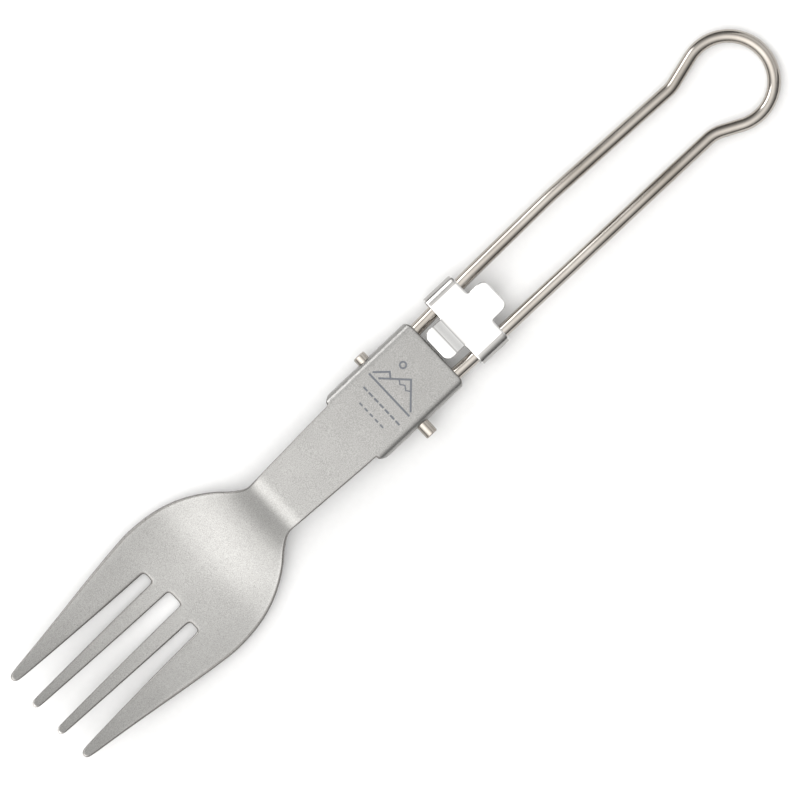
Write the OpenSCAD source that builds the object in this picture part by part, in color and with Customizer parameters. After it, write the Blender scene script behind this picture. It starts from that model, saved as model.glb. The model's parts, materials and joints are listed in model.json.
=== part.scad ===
// Folding camping fork: a pressed titanium fork head, a wire loop handle that folds under it,
// and a sheet-metal lock that slides along the handle's two legs.
// The fork lies concave side up on the plane z = 0. +X runs from the tines to the loop.

/* [Fork head] */
// Thickness of the pressed sheet
sheet_t = 0.9; // [0.7:0.1:1.2]
// Distance from the tine tips to the hinge pins
tip_to_hinge = 79.5; // [70:0.5:90]
// Widest width across the bowl
bowl_w = 26.7; // [24:0.1:30]
// Width of the neck where it leaves the bowl
neck_w = 10.1; // [9:0.1:11.5]
// Width of the neck where it meets the hinge channel
neck_end_w = 11.84; // [11:0.1:13]
// Width across the outer tines at their tips
tips_w = 18.4; // [17:0.1:20]
// Depth of the bowl's lowest line below the neck
bowl_depth = 6.6; // [5:0.1:8]
// Height of the tine tips above the bowl's lowest line
tine_rise = 4.4; // [2:0.1:6]
// Rise of the bowl's edges above its middle line
dish_rise = 1.7; // [0.5:0.1:2.2]
// Distance from the tine tips to the ends of the outer slots
slot_len = 28.5; // [20:0.5:32]

/* [Hinge channel] */
// Outside width of the channel
channel_w = 14.36; // [13.5:0.02:15]
// Depth of the channel's flanges, from the top of the plate
channel_depth = 4.6; // [4:0.1:6]
// Distance from the hinge pins to the open end of the channel
channel_nose = 9.8; // [8:0.1:11]
// Outside radius of the channel's two bends
bend_r = 1.4; // [1.1:0.1:1.6]

/* [Wire handle] */
// Diameter of the handle wire
wire_d = 2.3; // [1.8:0.05:2.3]
// Distance from the hinge pins to the outer end of the loop
handle_len = 85.6; // [75:0.1:95]
// Outside diameter of the loop
loop_d = 17.6; // [15:0.1:19]
// Distance by which the lock and the legs under it sit to the left of the head's middle line
lock_shift = 0.45; // [0:0.05:0.7]
// Radial clearance of a hinge pin in its hole
pin_play = 0.06; // [0.02:0.01:0.1]
// Length of the left pin outside the channel
left_pin_out = 1.3; // [0.5:0.1:3]
// Length of the right pin outside the channel
right_pin_out = 2.4; // [0.5:0.1:3]

/* [Sliding lock] */
// Thickness of the lock's sheet
lock_t = 0.55; // [0.4:0.05:0.6]
// Outside width of the lock's band
lock_w = 14.9; // [14.6:0.05:15.2]
// Length of the lock's band along the handle
lock_len = 6.2; // [5:0.1:8]
// Width of the lock's tab and tongue
tab_w = 6.1; // [5:0.1:8]
// Distance from the hinge pins to the tongue's tip, with the lock just clear of the channel
lock_start = 10.05; // [10:0.05:20]

/* [Hidden] */

titanium = [0.74, 0.73, 0.71];
polished = [0.80, 0.79, 0.77];
steel = [0.88, 0.88, 0.88];

wire_r = wire_d / 2;
// Gap between the plate and the legs under it
under_gap = 0.12;
pin_z = -(sheet_t + under_gap + wire_r);

// The head's middle line, seen from the side: level neck, convex bend, straight slope, the
// bowl's arc, then a long shallow arc out along the tines.
neck_bend_r = 5;
slope = 36;
neck_bend_x = -tip_to_hinge + 54;
slope_x = neck_bend_x - neck_bend_r * sin(slope);
slope_z = -neck_bend_r * (1 - cos(slope));
bowl_r = 22;
slope_end_z = -bowl_depth + bowl_r * (1 - cos(slope));
slope_run = (slope_z - slope_end_z) / tan(slope);
bowl_mid_x = slope_x - slope_run - bowl_r * sin(slope);
tine_run = bowl_mid_x + tip_to_hinge;
tine_arc_r = (tine_run * tine_run + tine_rise * tine_rise) / (2 * tine_rise);

// Placement: the fork is drawn with its plate level and its hinge pins over the origin, then it
// is tipped so that the bowl and the end of the loop both touch the surface.
loop_low = pin_z - wire_r;
bowl_low = -bowl_depth - sheet_t;
tip_angle = atan((loop_low - bowl_low) / (handle_len - wire_r - bowl_mid_x));
bowl_centre_z = (bowl_r - bowl_depth) * cos(tip_angle) - bowl_mid_x * sin(tip_angle);
touch_z = bowl_r + sheet_t - bowl_centre_z;
middle_x = (handle_len - tip_to_hinge) / 2 * cos(tip_angle) + pin_z * sin(tip_angle);

function line_z(x) =
    x >= neck_bend_x ? 0
    : x >= slope_x ? -neck_bend_r + sqrt(pow(neck_bend_r, 2) - pow(neck_bend_x - x, 2))
    : x >= slope_x - slope_run ? slope_z - (slope_x - x) * tan(slope)
    : x >= bowl_mid_x ? -bowl_depth + bowl_r - sqrt(pow(bowl_r, 2) - pow(x - bowl_mid_x, 2))
    : -bowl_depth + tine_arc_r - sqrt(pow(tine_arc_r, 2) - pow(bowl_mid_x - x, 2));

function line_angle(x) =
    x >= neck_bend_x ? 0
    : x >= slope_x ? asin((neck_bend_x - x) / neck_bend_r)
    : x >= slope_x - slope_run ? slope
    : x >= bowl_mid_x ? asin((x - bowl_mid_x) / bowl_r)
    : -asin((bowl_mid_x - x) / tine_arc_r);

function ease(t) = let (c = min(max(t, 0), 1)) c * c * (3 - 2 * c);

// The dish fades in down the slope and eases off towards the tips.
function dish(x) =
    dish_rise * ease((neck_bend_x - x) / 14) * (0.55 + 0.45 * ease((x + tip_to_hinge) / 30));

// Half the blade's width, s mm from the tips: straight tines, the bowl's round flank, the fillet
// into the neck, the neck, and the shoulder onto the channel.
bowl_s = 30.5;
flank_s = 46.5;
neck_s = 50.9;
shoulder_s = 69.2;
shoulder_len = 2;
flank_half = 8.15;
joint_half = channel_w / 2 - bend_r + 0.3;
function half_width(s) =
    s < bowl_s ?
        let (t = s / bowl_s)
        tips_w / 2 + 0.3 + (bowl_w / 2 - tips_w / 2 - 0.3) * (0.7 * t + 0.3 * ease(t))
    : s < flank_s ?
        bowl_w / 2 - (bowl_w / 2 - flank_half) * pow((s - bowl_s) / (flank_s - bowl_s), 2.5)
    : s < neck_s ?
        neck_w / 2 + (flank_half - neck_w / 2) * pow((neck_s - s) / (neck_s - flank_s), 1.5)
    : s < shoulder_s ?
        (neck_w + (neck_end_w - neck_w) * (s - neck_s) / (shoulder_s - neck_s)) / 2
    : neck_end_w / 2 + (joint_half - neck_end_w / 2) * ease((s - shoulder_s) / shoulder_len);

// Slots between the tines: each end is square with small rounded corners.
middle_slot_half = 1.53;
middle_slot_len = slot_len + 0.9;
outer_slot_in = 4.52;
outer_slot_w = 2.14;
corner_r = 0.5;
tip_r = 0.8;
function slot_end(s, len) =
    s < len - corner_r ? 0 : corner_r - sqrt(pow(corner_r, 2) - pow(s - len + corner_r, 2));
// A slot widens a little towards the tips, where the tines taper.
function taper(s) = pow(1 - min(s / slot_len, 1), 1.3);
function tip_round(s) = s >= tip_r ? 0 : tip_r - sqrt(pow(tip_r, 2) - pow(tip_r - s, 2));

// Edges of one side's two tines at s: inner tine's inside and outside, outer tine's inside.
function inner_in(s) =
    middle_slot_half + 0.75 * taper(s) + tip_round(s) * 0.9
    - slot_end(min(s, middle_slot_len), middle_slot_len);
function inner_out(s) =
    outer_slot_in - 0.75 * taper(s) - tip_round(s) * 0.9
    + slot_end(min(s, slot_len), slot_len);
function outer_in(s) =
    outer_slot_in + outer_slot_w + 1.2 * taper(s) + tip_round(s)
    - slot_end(min(s, slot_len), slot_len);
function outer_out(s) = half_width(s) - tip_round(s);

// Stations along the blade: close together at the tips, slot ends, bends and shoulder.
function steps(a, b, n) = [for (i = [0:n - 1]) a + (b - a) * i / n];
blade_end_s = tip_to_hinge - 7.8;
stations = concat(
    [0.04, 0.15, 0.4],
    steps(tip_r, slot_len - corner_r, 18),
    steps(slot_len - corner_r, slot_len, 3),
    steps(slot_len, middle_slot_len - corner_r, 1),
    steps(middle_slot_len - corner_r, middle_slot_len, 3),
    steps(middle_slot_len, flank_s, 10),
    steps(flank_s, 54.2, 14),
    steps(54.2, shoulder_s, 3),
    steps(shoulder_s, shoulder_s + shoulder_len, 6),
    [shoulder_s + shoulder_len, blade_end_s]
);
lanes = 3;
// Lines across one side of the blade, from the middle outwards, as distances from the middle.
function side_lines(s) =
    let (a = inner_in(s), b = inner_out(s), c = outer_in(s), d = outer_out(s))
    let (w = half_width(s))
    s <= slot_len + 0.01 ? concat(
        [0],
        [for (i = [0:lanes]) a + (b - a) * i / lanes],
        [for (i = [0:lanes]) c + (d - c) * i / lanes]
    )
    : let (k = w / half_width(slot_len), m = s <= middle_slot_len + 0.01 ? a : a * k)
      let (bk = b * k, ck = c * k)
      concat(
        [0],
        [for (i = [0:lanes]) m + (bk - m) * i / lanes],
        [for (i = [0:lanes]) ck + (w - ck) * i / lanes]
    );
function mirrored(v) = concat([for (i = [len(v) - 1:-1:1]) -v[i]], v);
lines_per_side = 2 * lanes + 3;
columns = 2 * lines_per_side - 1;

// A cell between line j and line j + 1 is solid unless it lies in a slot.
middle_column = lines_per_side - 1;
function from_middle(j) = j >= middle_column ? j - middle_column : middle_column - 1 - j;
function solid_cell(i, j) =
    i < 0 || i >= len(stations) - 1 || j < 0 || j >= columns - 1 ? false
    : let (k = from_middle(j), s = stations[i])
      k == 0 ? s > middle_slot_len - 0.01
      : k == lanes + 1 ? s > slot_len - 0.01
      : true;

// Sheet surfaces: the upper one follows the middle line and the dish, and the lower one is
// offset square to the middle line. Both stay just inside the channel's plate at the joint.
inset = 0.02;
function upper(x, y) = [x, y, line_z(x) + dish(x) * pow(y / (bowl_w / 2), 2) - inset];
function lower(x, y) =
    let (a = line_angle(x), t = sheet_t - 2 * inset)
    upper(x, y) + [t * sin(a), 0, -t * cos(a)];

// The outer tines stop a little short of the inner ones.
outer_short = 0.45;
function along(i, j) =
    let (s = stations[i], outer = abs(j - middle_column) > lanes + 1)
    s - tip_to_hinge + (outer ? outer_short * (1 - ease(s / 6)) : 0);

module blade() {
    n = len(stations);
    rows = [for (s = stations) mirrored(side_lines(s))];
    top = [for (i = [0:n - 1]) for (j = [0:columns - 1]) upper(along(i, j), rows[i][j])];
    under = [for (i = [0:n - 1]) for (j = [0:columns - 1]) lower(along(i, j), rows[i][j])];
    low = n * columns;
    faces = [
        for (i = [0:n - 2]) for (j = [0:columns - 2])
            let (a = i * columns + j, b = a + 1, c = b + columns, d = a + columns)
            if (solid_cell(i, j)) each concat(
                [[a, b, c], [a, c, d], [low + a, low + c, low + b], [low + a, low + d, low + c]],
                solid_cell(i - 1, j) ? [] : [[a, low + a, low + b], [a, low + b, b]],
                solid_cell(i + 1, j) ? [] : [[d, c, low + c], [d, low + c, low + d]],
                solid_cell(i, j - 1) ? [] : [[a, d, low + d], [a, low + d, low + a]],
                solid_cell(i, j + 1) ? [] : [[b, low + b, low + c], [b, low + c, c]]
            )
    ];
    polyhedron(points = concat(top, under), faces = faces, convexity = 8);
}

// The channel: a plate with a flange bent down along each side.
channel_start = -tip_to_hinge + 71.2;
channel_len = channel_nose - channel_start;
flange_corner_r = 1.6;
plan_corner_r = 1.1;

module channel_section() {
    inner_r = bend_r - sheet_t;
    half = channel_w / 2;
    difference() {
        union() {
            translate([-half, -channel_depth]) square([channel_w, channel_depth - bend_r]);
            translate([-half + bend_r, -bend_r - 1]) square([channel_w - 2 * bend_r, bend_r + 1]);
            for (side = [-1, 1])
                translate([side * (half - bend_r), -bend_r]) circle(r = bend_r, $fn = 64);
        }
        translate([-half + sheet_t, -channel_depth - 1])
            square([channel_w - 2 * sheet_t, channel_depth + 1 - bend_r]);
        translate([-half + bend_r, -bend_r - 0.5])
            square([channel_w - 2 * bend_r, bend_r + 0.5 - sheet_t]);
        for (side = [-1, 1])
            translate([side * (half - bend_r), -bend_r]) circle(r = inner_r, $fn = 48);
    }
}

// Side outline of the channel: the flanges' lower corners are rounded.
module channel_outline() {
    difference() {
        translate([0, -channel_depth]) square([channel_len, channel_depth + 1]);
        for (end = [0, 1])
            translate([end * channel_len, -channel_depth]) mirror([end, 0]) difference() {
                translate([-1, -1]) square(flange_corner_r + 1);
                translate([flange_corner_r, flange_corner_r]) circle(r = flange_corner_r, $fn = 48);
            }
    }
}

// Plan outline of the channel: its four corners are rounded.
module channel_plan() {
    half = channel_w / 2;
    translate([plan_corner_r, -half]) square([channel_len - 2 * plan_corner_r, channel_w]);
    translate([0, -half + plan_corner_r]) square([channel_len, channel_w - 2 * plan_corner_r]);
    for (x = [plan_corner_r, channel_len - plan_corner_r]) for (side = [-1, 1])
        translate([x, side * (half - plan_corner_r)]) circle(r = plan_corner_r, $fn = 48);
}

module channel() {
    hole_r = wire_r + pin_play;
    difference() {
        intersection() {
            translate([channel_start, 0, 0]) rotate([90, 0, 90])
                linear_extrude(channel_len) channel_section();
            translate([channel_start, channel_w / 2 + 1, 0]) rotate([90, 0, 0])
                linear_extrude(channel_w + 2) channel_outline();
            translate([channel_start, 0, -channel_depth - 1])
                linear_extrude(channel_depth + 2) channel_plan();
        }
        translate([0, channel_w / 2 + 1, pin_z]) rotate([90, 0, 0])
            cylinder(r = hole_r, h = channel_w + 2, $fn = 64);
    }
}

// The wire's route lies in one plane. Each turn is an arc that the straight runs meet as
// tangents. The arcs are a hair thicker than the runs, whose ends lie just inside them.
swell = 0.02;
bend_lap = 0.12;
function turn_at(p, i) =
    let (a = p[i] - p[i - 1], b = p[i + 1] - p[i])
    atan2(a.x * b.y - a.y * b.x, a.x * b.x + a.y * b.y);
function bend_run(p, r, i) = r[i] * tan(abs(turn_at(p, i)) / 2);
// How far short of point i a straight run ends
function run_gap(p, r, i) =
    i == 0 ? 0
    : i == len(p) - 1 ? -bend_lap
    : bend_run(p, r, i) - bend_lap;

module wire_arc(centre, r, from, sweep) {
    translate([centre.x, centre.y, pin_z]) rotate([0, 0, from])
        rotate_extrude(angle = sweep, $fn = 96)
            translate([r, 0]) circle(r = wire_r + swell, $fn = 32);
}

module wire_straight(a, b) {
    d = b - a;
    translate([a.x, a.y, pin_z]) rotate([0, 0, atan2(d.y, d.x)]) rotate([0, 90, 0])
        cylinder(r = wire_r, h = norm(d), $fn = 48);
}

module wire_bend(p, r, i) {
    heading = (p[i] - p[i - 1]) / norm(p[i] - p[i - 1]);
    turn = turn_at(p, i);
    start = p[i] - heading * bend_run(p, r, i);
    centre = start + [-heading.y, heading.x] * r[i] * sign(turn);
    from = atan2(start.y - centre.y, start.x - centre.x);
    wire_arc(centre, r[i], turn > 0 ? from : from + turn, abs(turn));
}

module wire_path(p, r) {
    for (i = [0:len(p) - 2]) {
        heading = (p[i + 1] - p[i]) / norm(p[i + 1] - p[i]);
        wire_straight(p[i] + heading * run_gap(p, r, i), p[i + 1] - heading * run_gap(p, r, i + 1));
    }
    for (i = [1:len(p) - 2]) wire_bend(p, r, i);
}

// Both legs bow outwards past the channel, the left one more, and each has a kink where it flares
// onto the loop. Points are distances outwards from the middle line.
leg_hinge = [0, 4.68];
left_stops = [[13, 5.14], [22, 5.65], [42, 5.95], [69, 5.22]];
right_stops = [[20, 5.1], [69, 5.28]];
left_radii = [0, 1.45, 40, 60, 100, 6, 0];
right_radii = [0, 1.45, 60, 6, 0];
loop_r = loop_d / 2 - wire_r;
loop_centre = [handle_len - loop_d / 2, -0.6];

// Angle round the loop, seen from the leg's own side, at which the run from the kink meets it
function loop_angle(kink, centre) =
    atan2(kink.y - centre.y, kink.x - centre.x) - acos(loop_r / norm(kink - centre));
function outwards(p, side) = [p.x, side * p.y];
left_angle = loop_angle(left_stops[3], loop_centre);
right_angle = loop_angle(right_stops[1], outwards(loop_centre, -1));
function loop_start(angle, side) =
    outwards(loop_centre, side) + loop_r * [cos(angle), sin(angle)];

// A leg's route, drawn on the left; the right leg is mirrored.
function leg_route(pin_out, stops, angle, side) = concat(
    [[0, channel_w / 2 + pin_out], leg_hinge], stops, [loop_start(angle, side)]
);

// The lock: a flat sheet over the legs, rolled down and under them along both sides, with a tab
// towards the loop and a raised tongue towards the channel.
lock_play = 0.06;
lock_under = pin_z + wire_r + lock_play;
roll_r = wire_r + lock_play + lock_t;
roll_y = lock_w / 2 - roll_r;
tongue_lift = sheet_t + under_gap + 0.12 - lock_play;
tongue_x = lock_start;
tongue_flat = 2.1;
joggle_run = 2;
band_x = tongue_x + tongue_flat + joggle_run;
tab_len = 3.7;
tab_corner_r = 1.3;
lip = 1.1;

module lock_band_section() {
    top = lock_under + lock_t;
    for (side = [-1, 1]) mirror([side < 0 ? 1 : 0, 0]) difference() {
        union() {
            translate([roll_y, pin_z]) circle(r = roll_r, $fn = 64);
            translate([roll_y - lip, pin_z - roll_r]) square([lip, lock_t]);
        }
        translate([roll_y, pin_z]) circle(r = roll_r - lock_t, $fn = 64);
        translate([roll_y - lip - 1, pin_z - roll_r + lock_t])
            square([lip + 1, 2 * roll_r - 2 * lock_t]);
    }
    translate([-roll_y, lock_under]) square([2 * roll_y, top - lock_under]);
}

module rounded_tab(len) {
    half = tab_w / 2;
    translate([-0.5, -half]) square([len + 0.5 - tab_corner_r, tab_w]);
    translate([-0.5, -half + tab_corner_r]) square([len + 0.5, tab_w - 2 * tab_corner_r]);
    for (side = [-1, 1])
        translate([len - tab_corner_r, side * (half - tab_corner_r)])
            circle(r = tab_corner_r, $fn = 32);
}

// Side profile of the tongue: level on the band, sloping up, then level above the plate.
module tongue_profile() {
    polygon([
        [band_x + 0.5, lock_under], [band_x, lock_under],
        [band_x - joggle_run, lock_under + tongue_lift], [tongue_x, lock_under + tongue_lift],
        [tongue_x, lock_under + tongue_lift + lock_t],
        [band_x - joggle_run + 0.15, lock_under + tongue_lift + lock_t],
        [band_x + 0.15, lock_under + lock_t], [band_x + 0.5, lock_under + lock_t]
    ]);
}

// Tips the whole fork onto its bowl and loop, and puts the origin under its middle.
module place() {
    translate([-middle_x, 0, touch_z]) rotate([0, tip_angle, 0]) children();
}

module fork_head() {
    color(titanium) place() union() {
        blade();
        channel();
    }
}

module wire_handle() {
    color(polished) place() union() {
        wire_path(leg_route(left_pin_out, left_stops, left_angle, 1), left_radii);
        mirror([0, 1, 0])
            wire_path(leg_route(right_pin_out, right_stops, right_angle, -1), right_radii);
        wire_arc(loop_centre, loop_r, -right_angle, right_angle + left_angle);
    }
}

module lock_slider() {
    color(steel) place() translate([0, lock_shift, 0]) union() {
        translate([band_x, 0, 0]) rotate([90, 0, 90])
            linear_extrude(lock_len) lock_band_section();
        translate([band_x + lock_len, 0, lock_under])
            linear_extrude(lock_t) rounded_tab(tab_len);
        intersection() {
            translate([0, tab_w / 2, 0]) rotate([90, 0, 0])
                linear_extrude(tab_w) tongue_profile();
            translate([band_x, 0, lock_under - 1]) mirror([1, 0, 0])
                linear_extrude(tongue_lift + lock_t + 2) rounded_tab(band_x - tongue_x);
        }
    }
}

fork_head();
wire_handle();
lock_slider();
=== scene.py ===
import json
import math

import bmesh
import bpy
from mathutils import Matrix, Vector


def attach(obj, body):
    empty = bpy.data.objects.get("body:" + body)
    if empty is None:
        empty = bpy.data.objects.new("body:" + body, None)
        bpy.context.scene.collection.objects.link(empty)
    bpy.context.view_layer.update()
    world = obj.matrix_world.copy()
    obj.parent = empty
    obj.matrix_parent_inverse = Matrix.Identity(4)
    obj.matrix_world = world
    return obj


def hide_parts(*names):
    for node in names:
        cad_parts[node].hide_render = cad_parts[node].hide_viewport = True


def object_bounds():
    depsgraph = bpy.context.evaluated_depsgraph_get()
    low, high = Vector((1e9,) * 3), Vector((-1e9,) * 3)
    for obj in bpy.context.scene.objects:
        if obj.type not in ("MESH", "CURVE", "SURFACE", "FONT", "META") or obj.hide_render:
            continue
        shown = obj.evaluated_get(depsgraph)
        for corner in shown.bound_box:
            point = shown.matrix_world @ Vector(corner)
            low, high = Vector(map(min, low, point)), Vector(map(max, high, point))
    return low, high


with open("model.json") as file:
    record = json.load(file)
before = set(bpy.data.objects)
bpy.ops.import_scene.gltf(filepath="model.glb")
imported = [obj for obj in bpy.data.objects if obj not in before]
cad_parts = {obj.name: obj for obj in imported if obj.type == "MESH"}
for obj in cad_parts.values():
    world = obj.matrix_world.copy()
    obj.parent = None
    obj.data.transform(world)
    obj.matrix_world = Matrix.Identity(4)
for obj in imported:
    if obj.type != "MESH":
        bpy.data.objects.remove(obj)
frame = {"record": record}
cad_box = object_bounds()
record = frame["record"]
MM = 0.001


# ---------------------------------------------------------------- the fork's own frame
# Shapes are drawn in millimetres in the level frame: the plate's top is z = 0, the hinge pins
# are over x = 0, and +x runs to the loop. The joints say where that frame lies.
def joint(name):
    return next(j for j in record["behaviour"]["joints"] if j["name"] == name)


SHEET_T = 0.9
WIRE_R = 1.15
UNDER_GAP = 0.12
PIN_HOLE_R = WIRE_R + 0.06
PIN_Z = -(SHEET_T + UNDER_GAP + WIRE_R)
HINGE = Vector(joint("handle_fold")["pos_m"])
ALONG = Vector(joint("lock_slide")["axis"]).normalized()
ACROSS = Vector((0, 1, 0))
UP = ALONG.cross(ACROSS)


def placed(p):
    """A point of the level frame, in millimetres, as a point of the record's frame, in metres."""
    return HINGE + (ALONG * p.x + ACROSS * p.y + UP * (p.z - PIN_Z)) * MM


def ease(t):
    c = min(max(t, 0.0), 1.0)
    return c * c * (3 - 2 * c)


def mix(a, b, t):
    return a + (b - a) * t


def steps(a, b, n):
    """n even steps from a to b, without a itself."""
    return [mix(a, b, i / n) for i in range(1, n + 1)]


# ---------------------------------------------------------------- fork head's surface
TIP_TO_HINGE = 79.5
BOWL_W = 26.7
BOWL_DEPTH = 6.6
TINE_RISE = 4.4
DISH_RISE = 1.7
DISH_FADE_RUN = 14
TIP_DISH_SHARE = 0.55
TIP_DISH_RUN = 30
NECK_BEND_R = 5.0
BOWL_R = 22.0
SLOPE = math.radians(36)
NECK_BEND_X = -TIP_TO_HINGE + 54
SLOPE_X = NECK_BEND_X - NECK_BEND_R * math.sin(SLOPE)
SLOPE_Z = -NECK_BEND_R * (1 - math.cos(SLOPE))
SLOPE_END_Z = -BOWL_DEPTH + BOWL_R * (1 - math.cos(SLOPE))
SLOPE_RUN = (SLOPE_Z - SLOPE_END_Z) / math.tan(SLOPE)
BOWL_MID_X = SLOPE_X - SLOPE_RUN - BOWL_R * math.sin(SLOPE)
TINE_RUN = BOWL_MID_X + TIP_TO_HINGE
TINE_ARC_R = (TINE_RUN**2 + TINE_RISE**2) / (2 * TINE_RISE)
CHANNEL_HALF = 7.18
CHANNEL_DEPTH = 4.6
CHANNEL_NOSE = 9.8
CHANNEL_FROM_S = 60
BEND_R = 1.4
BEND_Y = CHANNEL_HALF - BEND_R
BEND_END_U = BEND_Y + BEND_R * math.pi / 2
FLANGE_END_U = BEND_END_U + CHANNEL_DEPTH - BEND_R


def line_z(x):
    """Height of the head's middle line: level neck, bend, slope, bowl, then the tines' arc."""
    if x >= NECK_BEND_X:
        return 0.0
    if x >= SLOPE_X:
        return -NECK_BEND_R + math.sqrt(NECK_BEND_R**2 - (NECK_BEND_X - x) ** 2)
    if x >= SLOPE_X - SLOPE_RUN:
        return SLOPE_Z - (SLOPE_X - x) * math.tan(SLOPE)
    if x >= BOWL_MID_X:
        return -BOWL_DEPTH + BOWL_R - math.sqrt(BOWL_R**2 - (x - BOWL_MID_X) ** 2)
    return -BOWL_DEPTH + TINE_ARC_R - math.sqrt(TINE_ARC_R**2 - (BOWL_MID_X - x) ** 2)


def dish(x):
    """How much higher the bowl's rim is than its middle line."""
    fade_in = ease((NECK_BEND_X - x) / DISH_FADE_RUN)
    towards_tips = ease((x + TIP_TO_HINGE) / TIP_DISH_RUN)
    return DISH_RISE * fade_in * (TIP_DISH_SHARE + (1 - TIP_DISH_SHARE) * towards_tips)


def head_surface(s, u):
    """Upper surface at s mm from the tips and u mm round the sheet from its middle line."""
    x = s - TIP_TO_HINGE
    side = math.copysign(1, u)
    u = abs(u)
    y, fold_z = u, 0.0
    if s > CHANNEL_FROM_S and u > BEND_Y:
        a = min((u - BEND_Y) / BEND_R, math.pi / 2)
        y = BEND_Y + BEND_R * math.sin(a)
        fold_z = -BEND_R * (1 - math.cos(a)) - max(u - BEND_END_U, 0)
    return Vector((x, side * y, line_z(x) + dish(x) * (y / (BOWL_W / 2)) ** 2 + fold_z))


# ---------------------------------------------------------------- fork head's outline
BOWL_S = 30.5
FLANK_S = 46.5
NECK_S = 50.9
SHOULDER_S = 69.2
FLANK_HALF = 8.15
NECK_HALF = 5.05
NECK_END_HALF = 5.92
TIPS_HALF = 9.2
TIPS_SPREAD = 0.3
FLANK_CURVE = 2.5
HOLLOW_CURVE = 1.5
MIDDLE_SLOT_HALF = 1.53
OUTER_SLOT_IN = 4.52
OUTER_SLOT_W = 2.14
SLOT_LEN = 28.5
MIDDLE_SLOT_LEN = 29.4
INNER_TAPER = 0.75
OUTER_TAPER = 1.2
TAPER_CURVE = 1.3


def half_width(s):
    """Half the head's width at s mm from the tips."""
    if s < BOWL_S:
        t = s / BOWL_S
        return mix(TIPS_HALF + TIPS_SPREAD, BOWL_W / 2, 0.7 * t + 0.3 * ease(t))
    if s < FLANK_S:
        t = (s - BOWL_S) / (FLANK_S - BOWL_S)
        return mix(BOWL_W / 2, FLANK_HALF, t**FLANK_CURVE)
    if s < NECK_S:
        t = (NECK_S - s) / (NECK_S - FLANK_S)
        return mix(NECK_HALF, FLANK_HALF, t**HOLLOW_CURVE)
    return mix(NECK_HALF, NECK_END_HALF, min((s - NECK_S) / (SHOULDER_S - NECK_S), 1))


def tine_edges(s):
    """Distances from the middle line to the slots' edges: inner tine in and out, outer tine in."""
    taper = (1 - min(s / SLOT_LEN, 1)) ** TAPER_CURVE
    k = half_width(s) / half_width(MIDDLE_SLOT_LEN) if s > MIDDLE_SLOT_LEN else 1.0
    inner_in = MIDDLE_SLOT_HALF + INNER_TAPER * taper
    inner_out = OUTER_SLOT_IN - INNER_TAPER * taper
    outer_in = OUTER_SLOT_IN + OUTER_SLOT_W + OUTER_TAPER * taper
    return inner_in * k, inner_out * k, outer_in * k


LANES = 4
BEND_LANES = 3
FLANGE_LANES = 4
FLANGE_LINES = BEND_LANES + FLANGE_LANES
# Line numbers counted outwards from the middle line
INNER_LINE = 1
SLOT_LINE = INNER_LINE + LANES
OUTER_LINE = SLOT_LINE + 2
EDGE_LINE = OUTER_LINE + LANES
LAST_LINE = EDGE_LINE + FLANGE_LINES
ROUND_TIP_RUN = 4


def spread(a, b, n, row_s):
    """n + 1 lines across a tine: evenly spaced, but nearer the sides where the tip is round."""
    out = []
    for i in range(n + 1):
        even = 2 * i / n - 1
        tip = math.sin(even * math.pi / 2)
        out.append(mix(a, b, (mix(tip, even, ease(row_s / ROUND_TIP_RUN)) + 1) / 2))
    return out


def flange_u(k):
    """Developed distance of flange line k, 1 to FLANGE_LINES, from the middle line."""
    if k <= BEND_LANES:
        return mix(NECK_END_HALF, BEND_END_U, k / BEND_LANES)
    return mix(BEND_END_U, FLANGE_END_U, ((k - BEND_LANES) / FLANGE_LANES) ** 0.8)


FLANGE_S = SHOULDER_S + 1.0
NOSE_S = TIP_TO_HINGE + CHANNEL_NOSE
FLANGE_CORNER_R = 1.5
FLANGE_FRONT_GAP = 0.35
FLANGE_FRONT_SLANT = 1.5
NOSE_ROUNDING = 0.55


def corner_cut(u):
    """How far the flange's rounded lower corner cuts back at u."""
    t = max(u - (FLANGE_END_U - FLANGE_CORNER_R), 0) / FLANGE_CORNER_R
    return FLANGE_CORNER_R * (1 - math.sqrt(max(1 - t * t, 0)))


def flange_front(u):
    """Where the flange begins at u, in mm from the tips."""
    rise = ease((u - NECK_END_HALF) / (BEND_END_U - NECK_END_HALF))
    return SHOULDER_S + FLANGE_FRONT_GAP + FLANGE_FRONT_SLANT * rise + corner_cut(u)


def flange_back(u):
    """Where the flange ends at u, in mm from the tips."""
    y = BEND_Y + BEND_R * math.sin(min((u - BEND_Y) / BEND_R, math.pi / 2))
    plan = NOSE_ROUNDING * ((y - NECK_END_HALF) / (CHANNEL_HALF - NECK_END_HALF)) ** 3
    return NOSE_S - plan - corner_cut(u)


def head_rows():
    """The sheet's rows, in mm from the tips: close together where the outline turns."""
    rows = [0.0, 0.55, 1.15, 2.1]
    rows += steps(2.1, 27.4, 15)
    rows += [SLOT_LEN, MIDDLE_SLOT_LEN, 30.4]
    rows += steps(30.4, FLANK_S, 12)
    rows += steps(FLANK_S, 54.5, 12)
    rows += steps(54.5, 68.0, 6)
    rows += [SHOULDER_S, FLANGE_S, 70.9, 71.7, 72.8]
    rows += steps(72.8, 88.0, 10)
    rows += [88.8, NOSE_S]
    return rows


HEAD_ROWS = head_rows()
# How round each of the first rows is drawn across a tine's tip
TIP_FADE = (1.0, 0.75, 0.4, 0.0)
# How much the outer tines are shorter than the inner ones, and over what length that fades
OUTER_SHORT = 0.45
OUTER_SHORT_RUN = 6


# Rows this close, in mm, count as the same place
NEAR = 0.01


def both_sides(side):
    """A row from right to left, from its middle and left points."""
    return [(p, -u) for p, u in reversed(side[1:])] + side


def lane(j, last):
    """The number, counted outwards, of the lane between lines j and j + 1."""
    return j - last if j >= last else last - 1 - j


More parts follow.
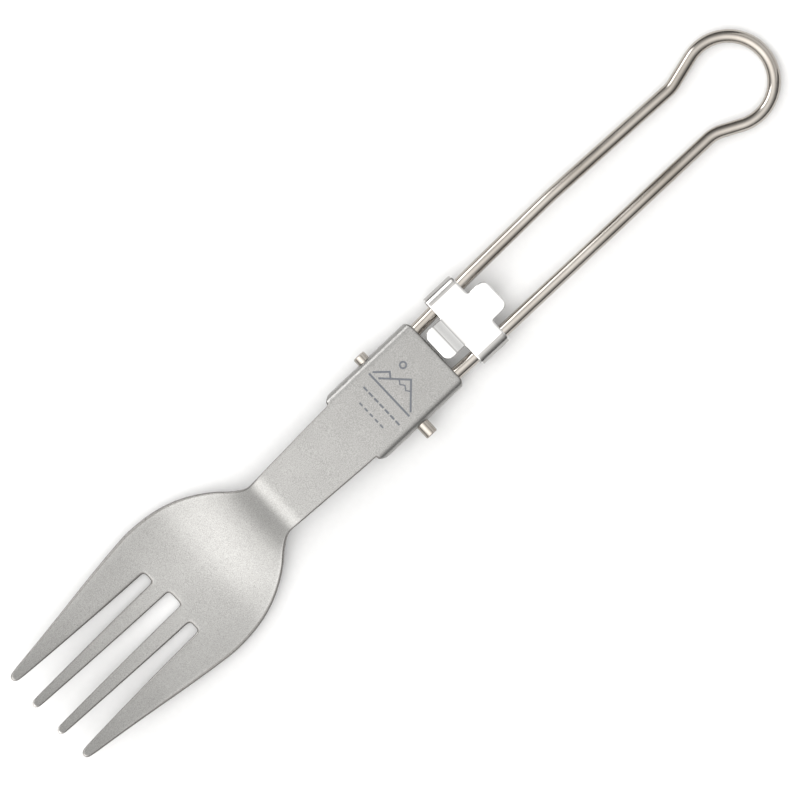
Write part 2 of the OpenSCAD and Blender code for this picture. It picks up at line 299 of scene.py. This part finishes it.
def head_grid():
    """Grid points (s, u) of the head's sheet, one row for each station, from right to left."""
    grid = []
    for i, s in enumerate(HEAD_ROWS):
        w = half_width(s)
        a, b, c = tine_edges(s)
        side = [(s, 0.0)]
        for lo, hi in ((a, b), (c, w)):
            lines = spread(lo, hi, LANES, s)
            for k, u in enumerate(lines):
                bulge = 1 - math.cos((2 * k / LANES - 1) * math.pi / 2)
                fade = TIP_FADE[i] if i < len(TIP_FADE) else 0.0
                short = OUTER_SHORT * (1 - ease(s / OUTER_SHORT_RUN)) if lo == c else 0.0
                side.append((s + short + bulge * fade * (hi - lo) / 2, u))
            if lo == a:
                side.append((s, (b + c) / 2))
        for k in range(1, FLANGE_LINES + 1):
            u = flange_u(k)
            t = (s - FLANGE_S) / (NOSE_S - FLANGE_S)
            side.append((mix(flange_front(u), flange_back(u), t) if t >= 0 else s, u))
        grid.append(both_sides(side))
    return grid


def head_cell(i, j):
    """Is there sheet between rows i and i + 1, and lines j and j + 1?"""
    s = HEAD_ROWS[i]
    k = lane(j, LAST_LINE)
    if k >= EDGE_LINE:
        return s > FLANGE_S - NEAR
    if k < INNER_LINE:
        return s > MIDDLE_SLOT_LEN - NEAR
    if SLOT_LINE <= k < OUTER_LINE:
        return s > SLOT_LEN - NEAR
    return True


# ---------------------------------------------------------------- sheet metal as a mesh
def normal_of(surface, s, u):
    """The surface's normal, from its slopes over a short distance each way."""
    d = 0.01
    ds = surface(s + d, u) - surface(s - d, u)
    du = surface(s, u + d) - surface(s, u - d)
    return ds.cross(du).normalized()


# A piece's material slots
FACE = 0
CUT_EDGE = 1
ROLLED = 2
SLOTS = 3
LEAST_MITER = 0.6
SUBDIVISIONS = 2


def sheet_mesh(name, grid, cell, surface, thickness, rim, finish=lambda i, j: FACE):
    """A closed sheet: two skins joined by rims. finish gives each cell's material slot."""
    n, m = len(grid), len(grid[0])
    there = {(i, j) for i in range(n - 1) for j in range(m - 1) if cell(i, j)}
    used = {(i + a, j + b) for i, j in there for a in (0, 1) for b in (0, 1)}
    # Each cell's sides, with the cell that would lie beyond and the two corners they join
    sides = (
        ((-1, 0), (0, 1), (0, 0)),
        ((1, 0), (1, 0), (1, 1)),
        ((0, -1), (0, 0), (1, 0)),
        ((0, 1), (1, 1), (0, 1)),
    )
    border = []
    outward = {}
    for i, j in there:
        middle = Vector((0, 0))
        for a in (0, 1):
            for b in (0, 1):
                middle += Vector(grid[i + a][j + b]) / 4
        for (di, dj), c0, c1 in sides:
            if (i + di, j + dj) in there:
                continue
            v0, v1 = (i + c0[0], j + c0[1]), (i + c1[0], j + c1[1])
            border.append((v0, v1))
            p0, p1 = Vector(grid[v0[0]][v0[1]]), Vector(grid[v1[0]][v1[1]])
            along = (p1 - p0).normalized()
            out = Vector((along.y, -along.x))
            if out.dot(p0 - middle) < 0:
                out = -out
            for v in (v0, v1):
                outward.setdefault(v, []).append(out)
    bm = bmesh.new()
    top, low, rim_top, rim_low = {}, {}, {}, {}
    for v in sorted(used):
        s, u = grid[v[0]][v[1]]
        if v not in outward:
            p, nrm = surface(s, u), normal_of(surface, s, u)
            top[v] = bm.verts.new(placed(p))
            low[v] = bm.verts.new(placed(p - nrm * thickness))
            continue
        out = sum(outward[v], Vector((0, 0)))
        out = out.normalized()
        miter = max(out.dot(outward[v][0]), LEAST_MITER)
        s2, u2 = Vector((s, u)) - out * rim / miter
        p, nrm = surface(s2, u2), normal_of(surface, s2, u2)
        edge, edge_n = surface(s, u), normal_of(surface, s, u)
        top[v] = bm.verts.new(placed(p))
        low[v] = bm.verts.new(placed(p - nrm * thickness))
        rim_top[v] = bm.verts.new(placed(edge - edge_n * rim))
        rim_low[v] = bm.verts.new(placed(edge - edge_n * (thickness - rim)))
    for i, j in sorted(there):
        a, b, c, d = (i, j), (i, j + 1), (i + 1, j + 1), (i + 1, j)
        for corners in ([top[v] for v in (a, d, c, b)], [low[v] for v in (a, b, c, d)]):
            bm.faces.new(corners).material_index = finish(i, j)
    for v0, v1 in border:
        for upper, lower in ((top, rim_top), (rim_top, rim_low), (rim_low, low)):
            face = bm.faces.new([upper[v0], upper[v1], lower[v1], lower[v0]])
            face.material_index = CUT_EDGE
    bmesh.ops.recalc_face_normals(bm, faces=bm.faces)
    return object_from(bm, name)


def object_from(bm, name):
    """A smooth object in the scene, with empty slots for its materials."""
    mesh = bpy.data.meshes.new(name)
    for _ in range(SLOTS):
        mesh.materials.append(None)
    bm.to_mesh(mesh)
    bm.free()
    for poly in mesh.polygons:
        poly.use_smooth = True
    obj = bpy.data.objects.new(name, mesh)
    bpy.context.scene.collection.objects.link(obj)
    return obj


def apply_modifiers(obj):
    depsgraph = bpy.context.evaluated_depsgraph_get()
    mesh = bpy.data.meshes.new_from_object(obj.evaluated_get(depsgraph))
    obj.modifiers.clear()
    obj.data = mesh


def subdivide(obj):
    mod = obj.modifiers.new("smooth", "SUBSURF")
    mod.levels = mod.render_levels = SUBDIVISIONS
    apply_modifiers(obj)


# ---------------------------------------------------------------- fork head
HEAD_RIM = 0.18
DRILL_SIDES = 64
DRILL_LEN = 20
FLANGE_SHARP = math.radians(50)


def pin_holes(head):
    """Drills the hinge pins' holes through both flanges."""
    bm = bmesh.new()
    r = PIN_HOLE_R * MM
    bmesh.ops.create_cone(
        bm, cap_ends=True, segments=DRILL_SIDES, radius1=r, radius2=r, depth=DRILL_LEN * MM
    )
    turn = Matrix.Rotation(math.radians(90), 4, "X")
    bmesh.ops.transform(bm, matrix=Matrix.Translation(HINGE) @ turn, verts=bm.verts)
    drill = object_from(bm, "drill")
    cut = head.modifiers.new("holes", "BOOLEAN")
    cut.operation, cut.solver, cut.object = "DIFFERENCE", "EXACT", drill
    apply_modifiers(head)
    bpy.data.objects.remove(drill)
    head.data.set_sharp_from_angle(angle=FLANGE_SHARP)


head = sheet_mesh("fork_head_pressed", head_grid(), head_cell, head_surface, SHEET_T, HEAD_RIM)
subdivide(head)
pin_holes(head)
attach(head, "fork_head")
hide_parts("fork_head")


# ---------------------------------------------------------------- wire handle
HANDLE_LEN = 85.6
LOOP_OUT_R = 8.8
LOOP_R = LOOP_OUT_R - WIRE_R
LOOP_X = HANDLE_LEN - LOOP_OUT_R
LOOP_Y = -0.6
LEFT_PIN_OUT = 1.3
RIGHT_PIN_OUT = 2.4
LEG_HINGE = (0, 4.68)
LEFT_STOPS = [(13, 5.14), (22, 5.65), (42, 5.95), (69, 5.22)]
RIGHT_STOPS = [(20, 5.1), (69, 5.28)]
LEFT_RADII = (0, 1.45, 40, 60, 100, 6, 0)
RIGHT_RADII = (0, 1.45, 60, 6, 0)
DEGREES_PER_POINT = 5
POINT_SPACING = 2.5
LOOP_POINTS = 60
WIRE_SIDES = 40
END_CHAMFER = 0.16
SAME_POINT = 0.01
END_SHARP = math.radians(35)


def leg_stops(side):
    return LEFT_STOPS if side > 0 else RIGHT_STOPS


def loop_angle(side):
    """Angle round the loop, seen from a leg's side, at which the run from its kink meets it."""
    kink = Vector(leg_stops(side)[-1])
    away = kink - Vector((LOOP_X, side * LOOP_Y))
    return math.atan2(away.y, away.x) - math.acos(LOOP_R / away.length)


def leg_points(pin_out, side):
    """Centre line of a leg (side 1 left, -1 right), from pin to loop, with an arc at every turn."""
    a = loop_angle(side)
    join = (LOOP_X + LOOP_R * math.cos(a), side * LOOP_Y + LOOP_R * math.sin(a))
    route = [(0, CHANNEL_HALF + pin_out), LEG_HINGE, *leg_stops(side), join]
    radii = LEFT_RADII if side > 0 else RIGHT_RADII
    stops = [Vector((x, side * y)) for x, y in route]
    out = [stops[0]]
    for i in range(1, len(stops) - 1):
        d0 = (stops[i] - stops[i - 1]).normalized()
        d1 = (stops[i + 1] - stops[i]).normalized()
        turn = math.atan2(d0.x * d1.y - d0.y * d1.x, d0.dot(d1))
        run = radii[i] * math.tan(abs(turn) / 2)
        start = stops[i] - d0 * run
        centre = start + Vector((-d0.y, d0.x)) * radii[i] * math.copysign(1, turn)
        n = max(4, int(abs(math.degrees(turn)) / DEGREES_PER_POINT))
        for k in range(n + 1):
            out.append(centre + Matrix.Rotation(turn * k / n, 2) @ (start - centre))
    # Long straight runs get points of their own, so that the wire's tube stays even.
    even = [out[0]]
    for p in out[1:]:
        last = even[-1]
        parts = max(1, int((p - last).length / POINT_SPACING))
        even += [last.lerp(p, k / parts) for k in range(1, parts + 1)]
    return even


def wire_points():
    """The wire's centre line: left leg, loop, and the right leg back to its pin."""
    left = leg_points(LEFT_PIN_OUT, 1)
    right = leg_points(RIGHT_PIN_OUT, -1)
    a, b = loop_angle(1), -loop_angle(-1)
    loop = [
        Vector((LOOP_X + LOOP_R * math.cos(t), LOOP_Y + LOOP_R * math.sin(t)))
        for t in (mix(a, b, k / LOOP_POINTS) for k in range(LOOP_POINTS + 1))
    ]
    return left + loop + right[::-1]


def tube(name, points, sides):
    """A round wire along points in the handle's plane, with its two ends slightly chamfered."""
    bm = bmesh.new()
    path = [points[0]]
    for p in points[1:]:
        if (p - path[-1]).length > SAME_POINT:
            path.append(p)
    first = (path[1] - path[0]).normalized()
    last = (path[-1] - path[-2]).normalized()
    path.insert(1, path[0] + first * END_CHAMFER)
    path.insert(-1, path[-1] - last * END_CHAMFER)
    rings = []
    for i, p in enumerate(path):
        before, after = path[max(i - 1, 0)], path[min(i + 1, len(path) - 1)]
        along = (after - before).normalized()
        out = Vector((along.y, -along.x, 0))
        r = WIRE_R - END_CHAMFER if i in (0, len(path) - 1) else WIRE_R
        ring = []
        for k in range(sides):
            a = 2 * math.pi * k / sides
            q = Vector((p.x, p.y, PIN_Z)) + (out * math.cos(a) + Vector((0, 0, math.sin(a)))) * r
            ring.append(bm.verts.new(placed(q)))
        rings.append(ring)
    for r0, r1 in zip(rings, rings[1:]):
        for k in range(sides):
            bm.faces.new((r0[k], r0[(k + 1) % sides], r1[(k + 1) % sides], r1[k]))
    bm.faces.new(rings[0])
    bm.faces.new(rings[-1][::-1])
    bmesh.ops.recalc_face_normals(bm, faces=bm.faces)
    obj = object_from(bm, name)
    obj.data.set_sharp_from_angle(angle=END_SHARP)
    return obj


wire = tube("handle_wire", wire_points(), WIRE_SIDES)
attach(wire, "wire_handle")
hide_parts("wire_handle")


# ---------------------------------------------------------------- sliding lock
LOCK_T = 0.55
LOCK_HALF = 7.45
LOCK_LEN = 6.2
TAB_HALF = 3.05
LOCK_START = 10.05
LOCK_SHIFT = 0.45
TONGUE_FLAT = 2.1
JOGGLE_RUN = 2.0
TAB_LEN = 3.7
TAB_CORNER_R = 1.3
LOCK_PLAY = 0.06
LIP = 1.1
ROLL_R = WIRE_R + LOCK_PLAY + LOCK_T
ROLL_Y = LOCK_HALF - ROLL_R
LOCK_TOP = PIN_Z + ROLL_R
ROLL_LEN = ROLL_R * math.pi
BAND_X = LOCK_START + TONGUE_FLAT + JOGGLE_RUN
BAND_END = BAND_X + LOCK_LEN
TONGUE_GAP = 0.12
TONGUE_LIFT = SHEET_T + UNDER_GAP + TONGUE_GAP - LOCK_PLAY
JOGGLE_LAP = 0.1
LOCK_RIM = 0.1


def lock_surface(x, u):
    """Outer surface of the lock: flat over the legs, then rolled round them to the lips."""
    side = math.copysign(1, u)
    u = abs(u)
    lift = TONGUE_LIFT * ease((BAND_X + JOGGLE_LAP - x) / (JOGGLE_RUN + JOGGLE_LAP))
    if u <= ROLL_Y:
        return Vector((x, LOCK_SHIFT + side * u, LOCK_TOP + lift))
    a = min((u - ROLL_Y) / ROLL_R, math.pi)
    past = max(u - ROLL_Y - ROLL_LEN, 0)
    y = ROLL_Y + ROLL_R * math.sin(a) - past
    return Vector((x, LOCK_SHIFT + side * y, PIN_Z + ROLL_R * math.cos(a)))


ROLL_LANES = 10
TAB_SHARES = (0, 0.35, 0.62, 0.85, 1)
TAB_LINE = len(TAB_SHARES) - 1
SHOULDER_LINES = 3
LIP_LINES = 2
# Share of the tab's corner rounding that is drawn
TAB_ROUNDING = 0.75


def lock_side(x):
    """Lines across one side of the lock at x: on the tab, the flat sheet, the roll and the lip."""
    tip = 0.0
    for end, inward in ((LOCK_START, 1), (BAND_END + TAB_LEN, -1)):
        t = 1 - (x - end) * inward / TAB_CORNER_R
        if t > 0:
            tip = TAB_CORNER_R * (1 - math.sqrt(max(1 - t * t, 0)))
    half = TAB_HALF - tip * TAB_ROUNDING
    lines = [half * t for t in TAB_SHARES]
    lines += steps(TAB_HALF, ROLL_Y, SHOULDER_LINES)
    lines += [ROLL_Y + ROLL_LEN * k / ROLL_LANES for k in range(1, ROLL_LANES + 1)]
    lines += [ROLL_Y + ROLL_LEN + LIP * k / LIP_LINES for k in range(1, LIP_LINES + 1)]
    return lines


def lock_rows():
    """The lock's rows along the fork, close together at the rounded ends."""
    end = BAND_END + TAB_LEN
    rows = [LOCK_START, LOCK_START + 0.4, LOCK_START + 1.1, LOCK_START + 1.8]
    rows += steps(LOCK_START + 1.8, BAND_X, 8)
    rows += steps(BAND_X, BAND_END, 6)
    rows += [BAND_END + 0.7, BAND_END + 1.6, end - 1.1, end - 0.4, end]
    return rows


LOCK_ROWS = lock_rows()
LOCK_LAST = TAB_LINE + SHOULDER_LINES + ROLL_LANES + LIP_LINES


def lock_grid():
    return [both_sides([(x, u) for u in lock_side(x)]) for x in LOCK_ROWS]


def lock_cell(i, j):
    on_band = BAND_X - NEAR < LOCK_ROWS[i] < BAND_END - NEAR
    return on_band or lane(j, LOCK_LAST) < TAB_LINE


def lock_finish(i, j):
    return ROLLED if lane(j, LOCK_LAST) >= TAB_LINE + SHOULDER_LINES else FACE


lock = sheet_mesh(
    "sliding_lock", lock_grid(), lock_cell, lock_surface, LOCK_T, LOCK_RIM, lock_finish
)
subdivide(lock)
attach(lock, "lock_slider")
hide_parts("lock_slider")


# ---------------------------------------------------------------- etched mark on the plate
MARK_LIFT = 0.006
MARK_DEPTH = 0.02
# Each stroke stands a little higher than the one before, so that no two faces coincide.
MARK_STEP = 0.0004
STROKE = 0.34
FINE_STROKE = 0.22
SHORT_STROKE = 0.3


def mark_ring(centre, outer, inner, sides):
    """A ring as one four-cornered patch for each of its sides."""

    def corner(r, k):
        a = 2 * math.pi * (k % sides) / sides
        return Vector((centre[0] + r * math.cos(a), centre[1] + r * math.sin(a)))

    return [
        [corner(outer, k), corner(outer, k + 1), corner(inner, k + 1), corner(inner, k)]
        for k in range(sides)
    ]


def mark_line(points, width):
    """A line of even width through points given as (towards the loop, towards the left)."""
    out = []
    for p, q in zip(points, points[1:]):
        a, b = Vector(p), Vector(q)
        along = (b - a).normalized() * width / 2
        out_by = Vector((-along.y, along.x))
        a, b = a - along, b + along
        out.append([a + out_by, b + out_by, b - out_by, a - out_by])
    return out


def etched_mark():
    """A plain camping mark, its top towards the loop: sun, two peaks, ground, two dashed rules."""
    shapes = mark_ring((4.3, 2.2), 0.7, 0.38, 24)
    shapes += mark_line([(-0.1, 3.3), (3.6, -0.5), (-0.1, -4.3)], STROKE)
    shapes += mark_line([(-0.1, 4.7), (1.9, 2.9), (1.22, 1.94)], STROKE)
    snow = [(2.2, 0.9), (1.7, 0.2), (2.2, -0.5), (1.7, -1.2), (2.2, -1.9)]
    shapes += mark_line(snow, FINE_STROKE)
    shapes += mark_line([(-0.8, 4.9), (-0.8, -4.6)], STROKE)
    for k in range(7):
        y = 3.9 - 1.3 * k
        shapes += mark_line([(-3.0, y), (-3.0, y - 0.62)], STROKE)
    for k in range(5):
        y = 2.5 - 1.25 * k
        shapes += mark_line([(-5.3, y - 0.05), (-5.3, y - 0.5)], SHORT_STROKE)
    bm = bmesh.new()
    for level, corners in enumerate(shapes):
        lift = MARK_LIFT + MARK_STEP * level
        upper = [bm.verts.new(placed(Vector((p.x, p.y, lift)))) for p in corners]
        lower = [bm.verts.new(placed(Vector((p.x, p.y, -MARK_DEPTH)))) for p in corners]
        bm.faces.new(upper)
        bm.faces.new(lower[::-1])
        n = len(corners)
        for k in range(n):
            bm.faces.new((upper[k], lower[k], lower[(k + 1) % n], upper[(k + 1) % n]))
    bmesh.ops.recalc_face_normals(bm, faces=bm.faces)
    obj = object_from(bm, "etched_mark")
    for poly in obj.data.polygons:
        poly.use_smooth = False
    return obj


mark = etched_mark()
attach(mark, "fork_head")


# ---------------------------------------------------------------- materials
TITANIUM_DARK = (0.28, 0.276, 0.268)
TITANIUM_LIGHT = (0.43, 0.425, 0.414)
# Painted shade: the plate's colour falls to this share between these two places, darker towards the
# hinge end
PLATE_SHADE_TONE = 0.87
PLATE_SHADE_FROM_X = HINGE.x - 0.026
PLATE_SHADE_TO_X = HINGE.x + 0.004
# Polish at the tine tips, and a painted highlight that brightens their cut edges: where each begins
# and ends to fade, in metres from them, and its factor
TIPS_X = cad_box[0].x
FACE_POLISH = (0.0002, 0.0011, 0.5)
EDGE_TIP_HIGHLIGHT = (0.0003, 0.0012, 3.2)


class Nodes:
    """A short way to write a material's nodes."""

    def __init__(self, name, **values):
        self.material = bpy.data.materials.new(name)
        self.material.use_nodes = True
        self.tree = self.material.node_tree
        self.shader = self.tree.nodes["Principled BSDF"]
        for key, value in values.items():
            self.shader.inputs[key.replace("_", " ")].default_value = value

    def add(self, kind, operation=None):
        node = self.tree.nodes.new(kind)
        if operation:
            node.operation = operation
        return node

    def link(self, a, b):
        self.tree.links.new(a, b)

    def position(self, scale):
        """The piece's own coordinates, stretched by scale along x, y and z."""
        place = self.add("ShaderNodeTexCoord")
        mapping = self.add("ShaderNodeMapping")
        mapping.inputs["Scale"].default_value = scale
        self.link(place.outputs["Object"], mapping.inputs["Vector"])
        return mapping.outputs["Vector"]

    def along(self):
        """The distance along the fork."""
        split = self.add("ShaderNodeSeparateXYZ")
        self.link(self.position((1, 1, 1)), split.inputs[0])
        return split.outputs["X"]

    def tip_factor(self, start, end, factor):
        """factor at the tine tips, fading to 1 between start and end."""
        return self.span(self.along(), TIPS_X + start, TIPS_X + end, factor, 1.0)

    def scaled(self, colour, factor):
        node = self.add("ShaderNodeVectorMath", "SCALE")
        self.link(colour, node.inputs[0])
        self.link(factor, node.inputs["Scale"])
        return node.outputs[0]

    def noise(self, scale, stretch=(1, 1, 1), detail=4.0, roughness=0.5):
        node = self.add("ShaderNodeTexNoise")
        node.inputs["Scale"].default_value = scale
        node.inputs["Detail"].default_value = detail
        node.inputs["Roughness"].default_value = roughness
        self.link(self.position(stretch), node.inputs["Vector"])
        return node.outputs["Fac"]

    def ramp(self, value, stops):
        node = self.add("ShaderNodeValToRGB")
        bar = node.color_ramp
        while len(bar.elements) < len(stops):
            bar.elements.new(0.5)
        for element, (at, colour) in zip(bar.elements, stops):
            element.position = at
            element.color = (*colour, 1)
        self.link(value, node.inputs["Fac"])
        return node.outputs["Color"]

    def span(self, value, low, high, to_low, to_high):
        node = self.add("ShaderNodeMapRange")
        for at, number in enumerate((low, high, to_low, to_high), 1):
            node.inputs[at].default_value = number
        self.link(value, node.inputs[0])
        return node.outputs[0]

    def math(self, operation, a, b):
        node = self.add("ShaderNodeMath", operation)
        for at, value in enumerate((a, b)):
            if hasattr(value, "node"):
                self.link(value, node.inputs[at])
            else:
                node.inputs[at].default_value = value
        return node.outputs[0]

    def bump(self, height, strength, distance):
        node = self.add("ShaderNodeBump")
        node.inputs["Strength"].default_value = strength
        node.inputs["Distance"].default_value = distance
        self.link(height, node.inputs["Height"])
        self.link(node.outputs["Normal"], self.shader.inputs["Normal"])

    def feed(self, name, output):
        self.link(output, self.shader.inputs[name])


def titanium():
    """Bead-blasted titanium: fine speckle, painted shade that darkens it towards the hinge end,
    tips polished by use.
    """
    m = Nodes("satin_titanium", Metallic=1.0)
    speckle = m.noise(7000.0, detail=1.5, roughness=0.6)
    cloud = m.noise(160.0, detail=3.0, roughness=0.5)
    tone = m.math("ADD", m.math("MULTIPLY", speckle, 0.88), m.math("MULTIPLY", cloud, 0.12))
    satin = m.ramp(tone, [(0.34, TITANIUM_DARK), (0.66, TITANIUM_LIGHT)])
    grain = m.noise(5200.0, detail=3.0, roughness=0.7)
    blast = m.span(grain, 0.3, 0.7, 0.32, 0.40)
    # Painted shade: the plate's colour darkens towards the hinge end.
    plate_shade = m.span(m.along(), PLATE_SHADE_FROM_X, PLATE_SHADE_TO_X, 1.0, PLATE_SHADE_TONE)
    m.feed("Base Color", m.scaled(satin, plate_shade))
    m.feed("Roughness", m.math("MULTIPLY", blast, m.tip_factor(*FACE_POLISH)))
    m.bump(grain, 0.16, 0.00006)
    return m.material


def cut_edge():
    """The sheet's cut edges: darker as painted shade, with fine marks across them, and brightened
    at the tine tips as a painted highlight.
    """
    m = Nodes("cut_titanium_edge", Metallic=1.0)
    marks = m.noise(3000.0, stretch=(1, 1, 0.15), detail=3.0, roughness=0.6)
    # Painted shade darkens the cut edges' colour, and the painted highlight brightens it at the
    # tine tips.
    dark = m.ramp(marks, [(0.3, (0.20, 0.193, 0.185)), (0.7, (0.28, 0.272, 0.262))])
    m.feed("Base Color", m.scaled(dark, m.tip_factor(*EDGE_TIP_HIGHLIGHT)))
    m.feed("Roughness", m.span(marks, 0.3, 0.7, 0.26, 0.4))
    m.bump(marks, 0.12, 0.00004)
    return m.material


def drawn_wire():
    """Polished titanium wire with faint lines along it."""
    m = Nodes("polished_wire", Metallic=1.0)
    tone = m.noise(90.0, detail=3.0)
    m.feed("Base Color", m.ramp(tone, [(0.3, (0.34, 0.31, 0.275)), (0.7, (0.47, 0.44, 0.405))]))
    lines = m.noise(2600.0, stretch=(0.04, 1, 1), detail=2.0)
    m.feed("Roughness", m.span(lines, 0.3, 0.7, 0.10, 0.20))
    m.bump(lines, 0.05, 0.00003)
    return m.material


def mirror_sheet():
    """Mirror-polished sheet with hairline scratches."""
    m = Nodes("mirror_polished_sheet", Metallic=1.0)
    tone = m.noise(140.0, detail=3.0)
    m.feed("Base Color", m.ramp(tone, [(0.3, (0.66, 0.655, 0.645)), (0.7, (0.73, 0.725, 0.715))]))
    lines = m.noise(1800.0, stretch=(0.05, 1, 1), detail=4.0, roughness=0.6)
    m.feed("Roughness", m.span(lines, 0.35, 0.75, 0.06, 0.16))
    m.bump(lines, 0.03, 0.00002)
    return m.material


def rolled_sheet():
    """The lock's rolled sides: painted shade makes their colour darker than the flat's, and they
    are rougher, with drawing marks along the roll.
    """
    m = Nodes("rolled_sides_painted_shade", Metallic=1.0)
    marks = m.noise(2400.0, stretch=(0.06, 1, 1), detail=3.0, roughness=0.6)
    # Painted shade: the rolled sides' colour is darker than the flat sheet's.
    m.feed("Base Color", m.ramp(marks, [(0.3, (0.36, 0.352, 0.34)), (0.7, (0.48, 0.472, 0.46))]))
    m.feed("Roughness", m.span(marks, 0.3, 0.7, 0.16, 0.26))
    m.bump(marks, 0.05, 0.00003)
    return m.material


def etched():
    """Laser-etched titanium: dull, darker and slightly uneven."""
    m = Nodes("laser_etched_titanium", Metallic=0.6)
    burn = m.noise(4200.0, detail=4.0, roughness=0.7)
    m.feed("Base Color", m.ramp(burn, [(0.3, (0.13, 0.138, 0.155)), (0.75, (0.21, 0.222, 0.245))]))
    m.feed("Roughness", m.span(burn, 0.3, 0.7, 0.5, 0.7))
    m.bump(burn, 0.2, 0.00004)
    return m.material


def studio_floor():
    """Plain white paper with a trace of tooth."""
    m = Nodes("white_paper", Roughness=0.9, Specular_IOR_Level=0.1)
    tooth = m.noise(900.0, detail=3.0)
    m.feed("Base Color", m.ramp(tooth, [(0.3, (0.89, 0.89, 0.89)), (0.7, (0.91, 0.91, 0.91))]))
    return m.material


def dress(obj, material, edge=None, rolled=None):
    """Gives a piece its material, and others for a sheet's cut edges and its rolled sides."""
    obj.data.materials[0] = material
    obj.data.materials[CUT_EDGE] = edge or material
    obj.data.materials[ROLLED] = rolled or material


dress(head, titanium(), cut_edge())
dress(wire, drawn_wire())
mirror = mirror_sheet()
dress(lock, mirror, mirror, rolled_sheet())
dress(mark, etched())


# ---------------------------------------------------------------- floor, light and camera
FLOOR_SIZE = 8.0
FLOOR_CELLS = 8
FLOOR_GAP = 0.0001


def build_floor():
    bm = bmesh.new()
    bmesh.ops.create_grid(bm, x_segments=FLOOR_CELLS, y_segments=FLOOR_CELLS, size=FLOOR_SIZE / 2)
    floor = object_from(bm, "floor")
    floor.location.z = cad_box[0].z - FLOOR_GAP
    dress(floor, studio_floor())


# The photograph looks straight down, with the fork turned so that its loop is at the upper right.
ROLL = math.radians(43.3)
CAMERA_RIGHT = Vector((math.cos(ROLL), -math.sin(ROLL), 0))
CAMERA_UP = Vector((math.sin(ROLL), math.cos(ROLL), 0))
FRAME_WIDTH = 0.1339
CAMERA_DISTANCE = 0.75
SENSOR = 36.0
AIM = Vector((HINGE.x, HINGE.y - 0.0017, 0.003))


def build_camera():
    data = bpy.data.cameras.new("camera")
    data.sensor_width = SENSOR
    data.lens = SENSOR * CAMERA_DISTANCE / FRAME_WIDTH
    camera = bpy.data.objects.new("camera", data)
    turn = Matrix((CAMERA_RIGHT, CAMERA_UP, Vector((0, 0, 1)))).transposed()
    camera.matrix_world = Matrix.Translation(AIM + Vector((0, 0, CAMERA_DISTANCE))) @ turn.to_4x4()
    data.clip_start, data.clip_end = 0.01, 10
    bpy.context.scene.collection.objects.link(camera)
    bpy.context.scene.camera = camera


def area_light(name, where, size, power):
    """A square light at where, aimed at the frame's origin, under the fork's middle."""
    data = bpy.data.lights.new(name, "AREA")
    data.energy = power
    data.size = size
    light = bpy.data.objects.new(name, data)
    light.location = where
    light.rotation_mode = "QUATERNION"
    light.rotation_quaternion = (-Vector(where)).to_track_quat("-Z", "Y")
    bpy.context.scene.collection.objects.link(light)


def from_view(right, up, height):
    """A place given as the camera sees it: right and up in the picture, and height above it."""
    return CAMERA_RIGHT * right + CAMERA_UP * up + Vector((0, 0, height))


# The room's light is one broad, soft pool overhead, leaning towards the tines, and a dim horizon.
POOL_LEAN = math.radians(26)
POOL_SIDE = -0.06
POOL_LIGHT = 2.6
POOL_SHARPNESS = 3.7
HORIZON_LIGHT = 0.13
ZENITH_LIGHT = 0.32
HORIZON_Z = 0.15
ZENITH_Z = 0.7
LIGHT_TINT = (1, 0.995, 0.985, 1)


def build_world():
    """The light from all round: the pool's strength and the room's, added by direction."""
    world = bpy.data.worlds.new("studio")
    world.use_nodes = True
    nodes, links = world.node_tree.nodes, world.node_tree.links
    direction = nodes.new("ShaderNodeTexCoord")
    towards = nodes.new("ShaderNodeVectorMath")
    towards.operation = "DOT_PRODUCT"
    centre = Vector((-math.sin(POOL_LEAN), POOL_SIDE, math.cos(POOL_LEAN))).normalized()
    towards.inputs[1].default_value = centre
    links.new(direction.outputs["Generated"], towards.inputs[0])
    last = towards.outputs["Value"]
    for operation, value in (("MAXIMUM", 0.0), ("POWER", POOL_SHARPNESS), ("MULTIPLY", POOL_LIGHT)):
        step = nodes.new("ShaderNodeMath")
        step.operation = operation
        step.inputs[1].default_value = value
        links.new(last, step.inputs[0])
        last = step.outputs[0]
    split = nodes.new("ShaderNodeSeparateXYZ")
    links.new(direction.outputs["Generated"], split.inputs[0])
    room = nodes.new("ShaderNodeMapRange")
    for at, value in enumerate((HORIZON_Z, ZENITH_Z, HORIZON_LIGHT, ZENITH_LIGHT), 1):
        room.inputs[at].default_value = value
    links.new(split.outputs["Z"], room.inputs[0])
    total = nodes.new("ShaderNodeMath")
    total.operation = "ADD"
    links.new(last, total.inputs[0])
    links.new(room.outputs[0], total.inputs[1])
    background = nodes["Background"]
    background.inputs["Color"].default_value = LIGHT_TINT
    links.new(total.outputs[0], background.inputs["Strength"])
    bpy.context.scene.world = world
    bpy.context.scene.view_settings.view_transform = "Standard"


def build_light():
    area_light("key", from_view(right=-0.50, up=0.42, height=0.42), size=0.4, power=2.1)
    area_light("far_card", (0.78, 0.0, 0.42), size=0.8, power=1.6)


build_floor()
build_camera()
build_world()
build_light()

bpy.context.view_layer.update()
